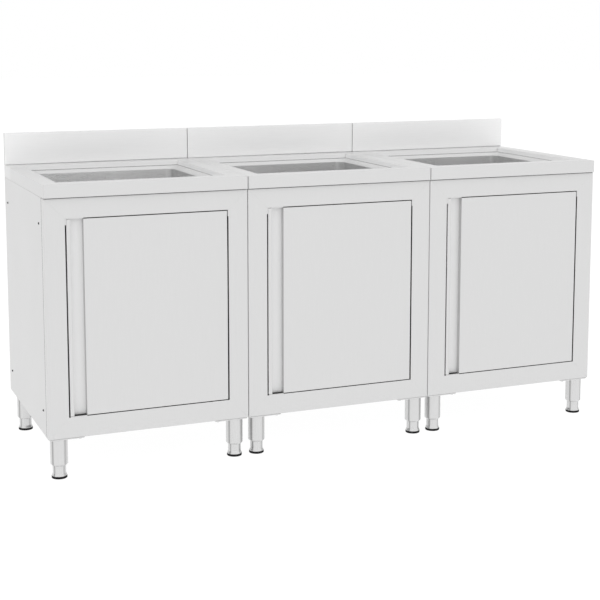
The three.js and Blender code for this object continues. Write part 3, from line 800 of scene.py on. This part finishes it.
def waste(unit):
    """The waste's flange and body, its back nut, and the strainer with its holes and centre screw."""
    low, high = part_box(unit.label("waste_outlet"))
    x, y = centre_of(low, high)
    top = high.z
    flange = high.x - x
    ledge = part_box(unit.label("drain_strainer"))[0].z
    neck = WASTE_BORE + 3 * MM
    seat = WASTE_BORE - 5 * MM
    body = filleted(
        [
            (WASTE_BORE, top), (flange, top), (flange, top - 2.2 * MM), (neck, top - 2.2 * MM),
            (neck, top - 24 * MM), (TAIL_RADIUS, top - 31 * MM), (TAIL_RADIUS, low.z), (TAIL_BORE, low.z),
            (TAIL_BORE, top - 26 * MM), (seat, ledge - 8 * MM), (seat, ledge - 0.3 * MM),
            (WASTE_BORE, ledge - 0.3 * MM),
        ],
        [0.8 * MM, 1.2 * MM, None, None, 3 * MM, 3 * MM, 0.4 * MM, 0.4 * MM, None, None, 0.5 * MM, None])
    node = unit.label("waste_outlet")
    turned(unit.label("waste_body"), x, y, body, bright_steel, "root", [node])
    thread(unit, x, y, low.z + THREAD_START)
    bore, across = neck + 0.2 * MM, neck + 11 * MM
    low_face, high_face = top - NUT_DROP, top - NUT_DROP + NUT_HEIGHT
    section = ((bore, low_face), (across, low_face), (across, high_face), (bore, high_face))
    rings = [circle(x, y, radius, z, 6) for radius, z in section]
    soften(lofted(unit.label("waste_back_nut"), [rings], True, bright_steel, "root"), 1 * MM)
    strainer(unit, x, y, ledge)


def thread(unit, x, y, start):
    """The turns of the tail's thread, from its low end up."""
    root, crest, inside = TAIL_RADIUS + HAIR, TAIL_RADIUS + THREAD_HEIGHT, TAIL_RADIUS - 0.5 * MM
    profile = []
    for i in range(THREAD_TURNS):
        z = start + i * THREAD_PITCH
        profile += [(root, z), (crest, z + THREAD_PITCH / 2)]
    last = profile[-1][1]
    profile += [(root, start + THREAD_TURNS * THREAD_PITCH), (inside, last), (inside, start)]
    turned(unit.label("waste_thread"), x, y, profile, bright_steel, "root")


def strainer(unit, x, y, z):
    """A pressed grid: two rings of round holes in a dished plate, with a dome-headed screw."""
    curve = bpy.data.curves.new(unit.label("strainer_outline"), "CURVE")
    curve.dimensions = "2D"
    curve.fill_mode = "BOTH"
    curve.extrude = STRAINER_SHEET / 2
    curve.bevel_depth = 0.25 * MM
    curve.bevel_resolution = 1
    outlines = [(0, STRAINER_RADIUS, 1, ROUND_SIDES)]
    outlines += [(*hole, STRAINER_HOLE_SIDES) for hole in STRAINER_HOLES]
    for reach, radius, number, sides in outlines:
        for i in range(number):
            angle = i / number * 2 * math.pi
            centre = (reach * MM * math.cos(angle), reach * MM * math.sin(angle))
            spline = curve.splines.new("POLY")
            ring = circle(*centre, radius * MM, 0, sides)
            spline.points.add(len(ring) - 1)
            for point, place in zip(spline.points, ring):
                point.co = (place.x, place.y, 0, 1)
            spline.use_cyclic_u = True
    pattern = bpy.data.objects.new("pattern", curve)
    bpy.context.scene.collection.objects.link(pattern)
    drawn = bpy.data.meshes.new_from_object(pattern.evaluated_get(bpy.context.evaluated_depsgraph_get()))
    points = [vertex.co + Vector((x, y, z + 1 * MM)) for vertex in drawn.vertices]
    faces = [tuple(face.vertices) for face in drawn.polygons]
    bpy.data.objects.remove(pattern)
    piece_of(
        unit.label("strainer_grid"), points, faces, bright_steel, "root",
        [unit.label("drain_strainer")])
    socket_screw(unit.label("strainer_screw"), Vector((x, y, z + 1.9 * MM)), 5 * MM)


def socket_screw(name, place, radius):
    """A domed screw head with a hexagon socket, facing up."""
    height = radius * 0.55
    socket = radius * 0.45
    rings = [circle(0, 0, r, z, BUTTON_SIDES) for r, z in dome(radius, height, 62)]
    rings += [hexagon(socket, height * 0.88), hexagon(socket, height * 0.25)]
    rings.append(circle(0, 0, radius * 0.05, height * 0.2, BUTTON_SIDES))
    rings = facing(place, Vector((0, 0, 1)), rings)
    lofted(name, [rings], False, bright_steel, "root")


def hexagon(radius, z):
    """A hexagon with as many points as a small circle, so that the two can be joined."""
    points = []
    for i in range(BUTTON_SIDES):
        angle = i / BUTTON_SIDES * 2 * math.pi
        across = (angle % (math.pi / 3)) - math.pi / 6
        reach = radius * math.cos(math.pi / 6) / math.cos(across)
        points.append(Vector((reach * math.cos(angle), reach * math.sin(angle), z)))
    return points


# ---- Face frame ----


def face_frame(unit):
    """Four folded rails with mitred corners, the jambs turned in round the opening, and the door stop."""
    half = (unit.frame_x1 - unit.frame_x0) / 2
    border = half - OPENING_HALF
    front, back = unit.frame_front, unit.frame_back
    opening_top = unit.door[1].z + DOOR_END_GAP
    head = unit.shoulder - opening_top

    def rail(width, return_to):
        t = RAIL_SHEET
        turned_in = front + t + HAIR
        outside = [(0, return_to), (0, front), (width, front), (width, turned_in)]
        inside = [(t, return_to), (t, front + t), (width - t, front + t), (width - t, turned_in)]
        return (
            filleted(outside, [None, FOLD, CRISP, None]), filleted(inside, [None, CRISP, CRISP / 2, None]))

    def side_rail(sign):
        def low(inset, y):
            z = unit.base + inset * BORDER / border + SEAM
            return Vector((unit.middle + sign * (half - inset), y, z))

        def high(inset, y):
            z = unit.shoulder - inset * head / border - SEAM
            return Vector((unit.middle + sign * (half - inset), y, z))

        ends = (low, high) if sign > 0 else (high, low)
        return folded(*rail(border, back), *ends)

    def level_end(sign, start, step, width):
        return lambda inset, y: Vector(
            (unit.middle + sign * (half - inset * border / width - SEAM), y, start + step * inset))

    parts = [side_rail(-1), side_rail(1)]
    for start, step, width, return_to in (
            (unit.base, 1, BORDER, back), (unit.shoulder, -1, head, front + NECK_FRONT)):
        ends = [level_end(-step, start, step, width), level_end(step, start, step, width)]
        parts.append(folded(*rail(width, return_to), *ends))
    node = unit.label("face_frame")
    lofted(unit.label("face_frame_rails"), parts, False, steel_z, "root", [node])
    frame_neck(unit, node, half - NECK_SIDE)
    jambs(unit, node, opening_top)
    door_stop(unit, node, opening_top)


def frame_neck(unit, node, half):
    """The frame's top, set in to stand inside the worktop's skirt."""
    wall = unit.frame_front + NECK_FRONT
    low = unit.shoulder - SHEET
    x0, x1 = unit.middle - half, unit.middle + half
    boxes = [
        ((x0, wall, low), (x1, wall + SHEET, unit.frame_top)),
        ((x0, wall + SHEET, low), (x0 + SHEET, unit.frame_back, unit.frame_top)),
        ((x1 - SHEET, wall + SHEET, low), (x1, unit.frame_back, unit.frame_top)),
    ]
    blocks(unit.label("face_frame_neck"), boxes, inner_steel, "root", [node])


def jambs(unit, node, opening_top):
    """The turned-in edges round the opening, its ears, and the strips above and below the channel."""
    x0, x1 = unit.middle - OPENING_HALF, unit.middle + OPENING_HALF
    y0, y1 = unit.frame_front + RAIL_SHEET + 0.2 * MM, unit.frame_front + JAMB
    z0, z1 = unit.base + BORDER, opening_top
    shelf_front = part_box(unit.label("bottom_shelf"))[0].y - 0.3 * MM
    t = 1.2 * MM
    turned_in = [
        ((x0 - t, y0, z0 - t), (x0, y1, z1 + t)),
        ((x1, y0, z0 - t), (x1 + t, y1, z1 + t)),
        ((x0, y0, z0 - t), (x1, shelf_front, z0)),
        ((x0, y0, z1), (x1, y1, z1 + t)),
    ]
    # The jambs are near black: painted shade inside the gaps round the door.
    blocks(unit.label("frame_jambs"), turned_in, jamb_shade_steel, "root", [node], edge=0.2 * MM)
    near, far = unit.frame_front + 0.3 * MM, unit.frame_front + 1.5 * MM
    drop = z1 - EAR_DROP
    channel = x0 + DOOR_SIDE_GAP + GRIP_LIP + GRIP_WIDTH
    ears = [
        ((x0, near, drop), (x0 + LEFT_EAR, far, z1)),
        ((x1 - RIGHT_EAR, near, drop), (x1, far, z1)),
        ((x0 + LEFT_EAR, near, z1 - HEAD_STRIP), (channel, far, z1)),
        ((x0 + DOOR_SIDE_GAP + 0.5 * MM, near, z0), (channel, far, z0 + FOOT_STRIP)),
    ]
    blocks(unit.label("frame_ears"), ears, steel_z, "root", [node], edge=0.2 * MM)


def door_stop(unit, node, opening_top):
    """The strip that the door's head closes against, on a flange behind it, with two rubber buffers."""
    stop_y = unit.door[1].y + STOP_CLEARANCE
    x0, x1 = unit.middle - OPENING_HALF, unit.middle + OPENING_HALF
    jamb = unit.frame_front + JAMB
    boxes = [
        ((x0, stop_y, opening_top - STOP_DROP), (x1, stop_y + SHEET, opening_top + SHEET)),
        ((x0, jamb + HAIR, opening_top), (x1, stop_y, opening_top + SHEET)),
    ]
    blocks(unit.label("door_stop"), boxes, inner_steel, "root", [node])
    profile = [(radius * MM, height * MM) for radius, height in BUFFER]
    forward = Vector((0, -1, 0))
    for side, word in ((-1, "left"), (1, "right")):
        x = unit.middle + side * (OPENING_HALF - BUFFER_INSET)
        place = Vector((x, stop_y, opening_top - BUFFER_DROP))
        button(unit.label(f"door_buffer_{word}"), place, forward, profile, rubber, "root")


# ---- Cabinet ----


def side_panels(unit):
    """The side sheets, stepped in under the skirt and turned in along the top, with their screws."""
    for side, word in ((-1, "left"), (1, "right")):
        node = unit.label(f"side_panel_{word}")
        low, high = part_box(node)
        wall = high.x if side > 0 else low.x
        flange = high.x - low.x
        outside = [
            (0, low.z), (0, unit.shoulder), (NECK_SIDE, unit.skirt), (NECK_SIDE, high.z), (flange, high.z)]
        inner = NECK_SIDE + SHEET
        inside = [
            (SHEET, low.z), (SHEET, unit.shoulder), (inner, unit.skirt), (inner, high.z - SHEET),
            (flange, high.z - SHEET)]

        def end(y):
            return lambda inset, z: Vector((wall - side * inset, y, z))

        front = low.y + SIDE_JOINT
        ends = (end(high.y), end(front)) if side > 0 else (end(front), end(high.y))
        rings = folded(outside, inside, *ends)
        name = unit.label(f"side_{word}_sheet")
        panel = lofted(name, [rings], False, steel_z, "root", [node])
        soften(panel, 0.3 * MM, angle=60)
        x0, x1 = sorted((wall - side * 0.05 * MM, wall - side * SHEET))
        sealant = ((x0, unit.frame_back + HAIR, low.z), (x1, front - HAIR, unit.shoulder))
        blocks(unit.label(f"side_{word}_sealant"), [sealant], rubber, "root", edge=0.1 * MM)
        side_screws(unit, side, word, wall)


def side_screws(unit, side, word, wall):
    """Four domed black screw heads, or flat ones where the next cabinet stands against them."""
    outermost = unit.name == word
    profile = dome(SCREW_RADIUS, SCREW_HEIGHT if outermost else FLAT_SCREW_HEIGHT, 84)
    outward = Vector((side, 0, 0))
    for i, (y, z) in enumerate(SIDE_SCREWS):
        name = unit.label(f"side_{word}_screw_{i}")
        button(name, Vector((wall, y * MM, z * MM)), outward, profile, screw_steel, "root")


def back_panel(unit):
    """The back sheet, with a round-cornered service opening."""
    node = unit.label("back_panel")
    low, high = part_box(node)
    hole = (unit.middle - SERVICE_HALF, unit.middle + SERVICE_HALF, SERVICE_LOW, SERVICE_HIGH)

    def ring(x0, x1, z0, z1, radius, y):
        flat = rounded_rectangle(x0, x1, z0, z1, radius, 0)
        return [Vector((point.x, y, point.y)) for point in flat]

    outer = (low.x, high.x, low.z, high.z)
    lip = SERVICE_LIP
    rings = [
        ring(*outer, 2 * MM, low.y),
        ring(hole[0] - lip, hole[1] + lip, hole[2] - lip, hole[3] + lip, SERVICE_CORNER + lip, low.y),
        ring(*hole, SERVICE_CORNER, low.y + 0.5 * MM),
        ring(*hole, SERVICE_CORNER, high.y),
        ring(*outer, 2 * MM, high.y),
    ]
    lofted(unit.label("back_sheet"), [rings], True, back_steel, "root", [node])


def bottom_shelf(unit):
    """The shelf: one sheet, folded down at both sides and turned in below over the leg plates."""
    node = unit.label("bottom_shelf")
    low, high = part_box(node)
    half = (high.x - low.x) / 2
    edge = half - SHELF_LIP
    turns = [(edge, low.z), (half, low.z), (half, high.z), (-half, high.z), (-half, low.z), (-edge, low.z)]
    thin = half - SHEET
    floor, ceiling = low.z + SHEET, high.z - SHEET
    under = [(edge, floor), (thin, floor), (thin, ceiling), (-thin, ceiling), (-thin, floor), (-edge, floor)]
    radii = [None, FOLD, FOLD, FOLD, FOLD, None]
    tight = [None, FOLD / 4, FOLD / 4, FOLD / 4, FOLD / 4, None]

    def end(y):
        return lambda x, z: Vector((unit.middle + x, y, z))

    rings = folded(filleted(turns, radii), filleted(under, tight), end(high.y), end(low.y))
    lofted(unit.label("shelf_sheet"), [rings], False, inner_steel, "root", [node])


# ---- Door ----


def door(unit):
    """The door's skin, folded into the grip channel near its free edge, with its liner and hinge."""
    body = unit.label("door")
    low, high = unit.door
    front, back = low.y, high.y
    t = DOOR_SHEET
    lip = low.x + GRIP_LIP
    face = lip + GRIP_WIDTH
    floor = front + GRIP_DEPTH
    outside = [
        (low.x, back), (low.x, front), (lip, front), (lip, floor), (face, floor), (face, front),
        (high.x, front), (high.x, back)]
    inside = [
        (low.x + t, back), (low.x + t, front + t), (lip - t, front + t), (lip - t, floor + t),
        (face + t, floor + t), (face + t, front + t), (high.x - t, front + t), (high.x - t, back)]
    large = 0.9 * MM
    out_radii = [None, large, large, TIGHT, TIGHT, large, large, None]
    in_radii = [None, TIGHT, TIGHT, large, large, TIGHT, TIGHT, None]

    def end(z):
        return lambda x, y: Vector((x, y, z))

    rings = folded(filleted(outside, out_radii), filleted(inside, in_radii), end(low.z), end(high.z))
    node = unit.label("door_skin")
    skin = lofted(unit.label("door_outer_skin"), [rings], False, door_steel, body, [node])
    soften(skin, 0.25 * MM, angle=60)
    door_liner(unit, body, face + t)
    hinge_rod(unit, body)


def door_liner(unit, body, hollow_x):
    """The liner pan: flanges along the top and the bottom, a raised centre field and a turned-in edge."""
    node = unit.label("door_liner")
    low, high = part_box(node)
    t = DOOR_SHEET
    front, back = low.y, high.y
    outside = [(front, high.z), (back, high.z), (back, low.z), (front, low.z)]
    inside = [(front, high.z - t), (back - t, high.z - t), (back - t, low.z + t), (front, low.z + t)]
    out_radii = [None, FOLD * 0.7, FOLD * 0.7, None]
    in_radii = [None, TIGHT, TIGHT, None]

    def end(x):
        return lambda y, z: Vector((x, y, z))

    ends = (end(hollow_x + 0.3 * MM), end(high.x))
    pan = folded(filleted(outside, out_radii), filleted(inside, in_radii), *ends)
    section = ((back - t, low.z), (back - t, high.z), (back, high.z), (back, low.z))
    strip = [[Vector((x, y, z)) for y, z in section] for x in (low.x, hollow_x + 0.2 * MM)]
    lofted(unit.label("door_inner_pan"), [pan, strip], False, inner_steel, body, [node])


def hinge_rod(unit, body):
    """The rod that the door hangs on, with a thrust collar under the door and one over it."""
    node = unit.label("hinge_rod")
    low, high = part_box(node)
    x, y = centre_of(low, high)
    rod, collar = ROD_RADIUS, COLLAR_RADIUS
    door_low, door_high = unit.door[0].z, unit.door[1].z
    gap = 0.3 * MM
    round_off = 0.3 * MM
    tip = 0.5 * MM
    core = 0.3 * MM
    lower = (unit.base + BORDER + gap, door_low - gap)
    upper = (door_high + gap, door_high + DOOR_END_GAP - gap)
    profile = [(core, low.z), (rod - tip, low.z), (rod, low.z + tip)]
    for bottom, top in (lower, upper):
        profile += [
            (rod, bottom), (collar - round_off, bottom), (collar, bottom + round_off),
            (collar, top - round_off), (collar - round_off, top), (rod, top)]
    profile += [(rod, high.z - tip), (rod - tip, high.z), (core, high.z)]
    # The pin shares the jambs' near-black painted-shade steel.
    turned(
        unit.label("hinge_pin"), x, y, profile, jamb_shade_steel, body, [node], wrap=False,
        sides=ROUND_SIDES // 2)


# ---- Legs and feet ----


def legs(unit):
    """Four tubes with a chamfered foot, each on a square plate that is bolted on at three corners."""
    for corner, outer_corner in CORNERS.items():
        node = unit.label(f"leg_{corner}")
        low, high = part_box(node)
        foot_low, foot_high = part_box(unit.label(f"foot_{corner}"))
        x, y = centre_of(foot_low, foot_high)
        plate_bottom = high.z - PLATE
        bore = NECK_RADIUS + 0.5 * MM
        inner = LEG_RADIUS - 2 * MM
        tube = filleted(
            [
                (bore, LEG_END), (LEG_RADIUS - 4.2 * MM, LEG_END), (LEG_RADIUS, LEG_SHOULDER),
                (LEG_RADIUS, plate_bottom - 2.4 * MM), (LEG_RADIUS + 2.2 * MM, plate_bottom),
                (inner, plate_bottom), (inner, LEG_SHOULDER + 4 * MM), (bore, LEG_SHOULDER)],
            [0.5 * MM, 1 * MM, 1.5 * MM, 1.5 * MM, None, None, None, None])
        turned(unit.label(f"leg_tube_{corner}"), x, y, tube, tube_steel, "root", [node])
        levels = (plate_bottom, high.z)
        plate = [rounded_rectangle(low.x, high.x, low.y, high.y, PLATE_CORNER, z) for z in levels]
        name = unit.label(f"leg_plate_{corner}")
        soften(lofted(name, [plate], False, steel_x, "root", [node]), 0.5 * MM)
        middle_x, middle_y = centre_of(low, high)
        levels = (plate_bottom - BOLT_HEIGHT, plate_bottom)
        bolts = []
        for across, back in ((-1, -1), (-1, 1), (1, -1), (1, 1)):
            if (across, back) == outer_corner:
                continue
            spot = (middle_x + across * BOLT_SPAN / 2, middle_y + back * BOLT_SPAN / 2)
            bolts.append([circle(*spot, BOLT_RADIUS, z, 6) for z in levels])
        name = unit.label(f"leg_bolts_{corner}")
        soften(lofted(name, bolts, False, bright_steel, "root"), 0.5 * MM)


def feet(unit):
    """Four adjustable feet, each a sleeve and stem with a flared base on a rubber pad."""
    for corner in CORNERS:
        node = unit.label(f"foot_{corner}")
        body = unit.label(f"adjuster_{corner}")
        low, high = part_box(node)
        x, y = centre_of(low, high)
        base = FOOT_RADIUS - 0.6 * MM
        inner = NECK_RADIUS - 2 * MM
        floor = PAD_HEIGHT + FLARE_RISE + 2 * MM
        core = 0.5 * MM
        sleeve = filleted(
            [
                (core, PAD_HEIGHT), (base, PAD_HEIGHT), (base, PAD_HEIGHT + 1.5 * MM),
                (NECK_RADIUS, PAD_HEIGHT + FLARE_RISE), (NECK_RADIUS, NECK_TOP), (inner, NECK_TOP),
                (inner, floor), (STEM_RADIUS, floor), (STEM_RADIUS, high.z), (core, high.z)],
            [None, 0.4 * MM, 0.8 * MM, 4 * MM, 0.5 * MM, None, None, None, 0.5 * MM, None])
        name = unit.label(f"foot_sleeve_{corner}")
        turned(name, x, y, sleeve, tube_steel, body, [node], wrap=False)
        pad_top = PAD_HEIGHT - HAIR
        pad = filleted(
            [(core, low.z), (FOOT_RADIUS, low.z), (FOOT_RADIUS, pad_top), (core, pad_top)],
            [None, 1 * MM, 1.2 * MM, None])
        turned(unit.label(f"foot_pad_{corner}"), x, y, pad, rubber, body, wrap=False)


# ---- Assembly ----

for unit_name in UNITS:
    unit = Unit(unit_name)
    worktop(unit)
    upstand(unit)
    bowl(unit)
    waste(unit)
    face_frame(unit)
    side_panels(unit)
    back_panel(unit)
    bottom_shelf(unit)
    door(unit)
    legs(unit)
    feet(unit)

# ---- Floor and light ----

FLOOR_SIZE = 60
ROOM_LIGHT = 1.08  # what the steel reflects
SHOWN_WHITE = 1.0  # what the camera sees behind the object
FLAGS = ((-104, 11, 0.5), (110, 8, 0.5))  # dark studio flags: azimuth, half width, how dark
FLOOR_GLOW = 0.965  # with the little light that it reflects, the floor is as white as the room


def floor():
    """A wide floor that is as white as the room behind it."""
    mesh = bpy.data.meshes.new("floor")
    half = FLOOR_SIZE / 2
    corners = [(-half, -half, 0), (half, -half, 0), (half, half, 0), (-half, half, 0)]
    mesh.from_pydata(corners, [], [(0, 1, 2, 3)])
    material, _, shader = new_material("pale_floor")
    shader.inputs["Base Color"].default_value = (0.1, 0.1, 0.1, 1)
    shader.inputs["Roughness"].default_value = 0.9
    shader.inputs["Specular IOR Level"].default_value = 0
    shader.inputs["Emission Color"].default_value = (1, 1, 1, 1)
    shader.inputs["Emission Strength"].default_value = FLOOR_GLOW
    mesh.materials.append(material)
    plane = bpy.data.objects.new("floor", mesh)
    bpy.context.scene.collection.objects.link(plane)


def room():
    """A white room with two dark upright flags that draw the edges of the round legs."""
    world = bpy.data.worlds.new("white_room")
    bpy.context.scene.world = world
    world.use_nodes = True
    tree = world.node_tree
    background = tree.nodes["Background"]
    direction = tree.nodes.new("ShaderNodeTexCoord")
    parts = tree.nodes.new("ShaderNodeSeparateXYZ")
    tree.links.new(direction.outputs["Generated"], parts.inputs["Vector"])
    forward = math_node(tree, "MULTIPLY", parts.outputs["Y"], -1.0)
    azimuth = math_node(tree, "ARCTAN2", parts.outputs["X"], forward)
    lit = math_node(tree, "MULTIPLY", dimmed(tree, azimuth, FLAGS), ROOM_LIGHT)
    path = tree.nodes.new("ShaderNodeLightPath")
    chosen = tree.nodes.new("ShaderNodeMix")
    chosen.inputs["B"].default_value = SHOWN_WHITE
    tree.links.new(path.outputs["Is Camera Ray"], chosen.inputs["Factor"])
    tree.links.new(lit, chosen.inputs["A"])
    tree.links.new(chosen.outputs["Result"], background.inputs["Strength"])
    background.inputs["Color"].default_value = (1, 1, 1, 1)


floor()
room()
bpy.context.scene.view_settings.view_transform = "Standard"
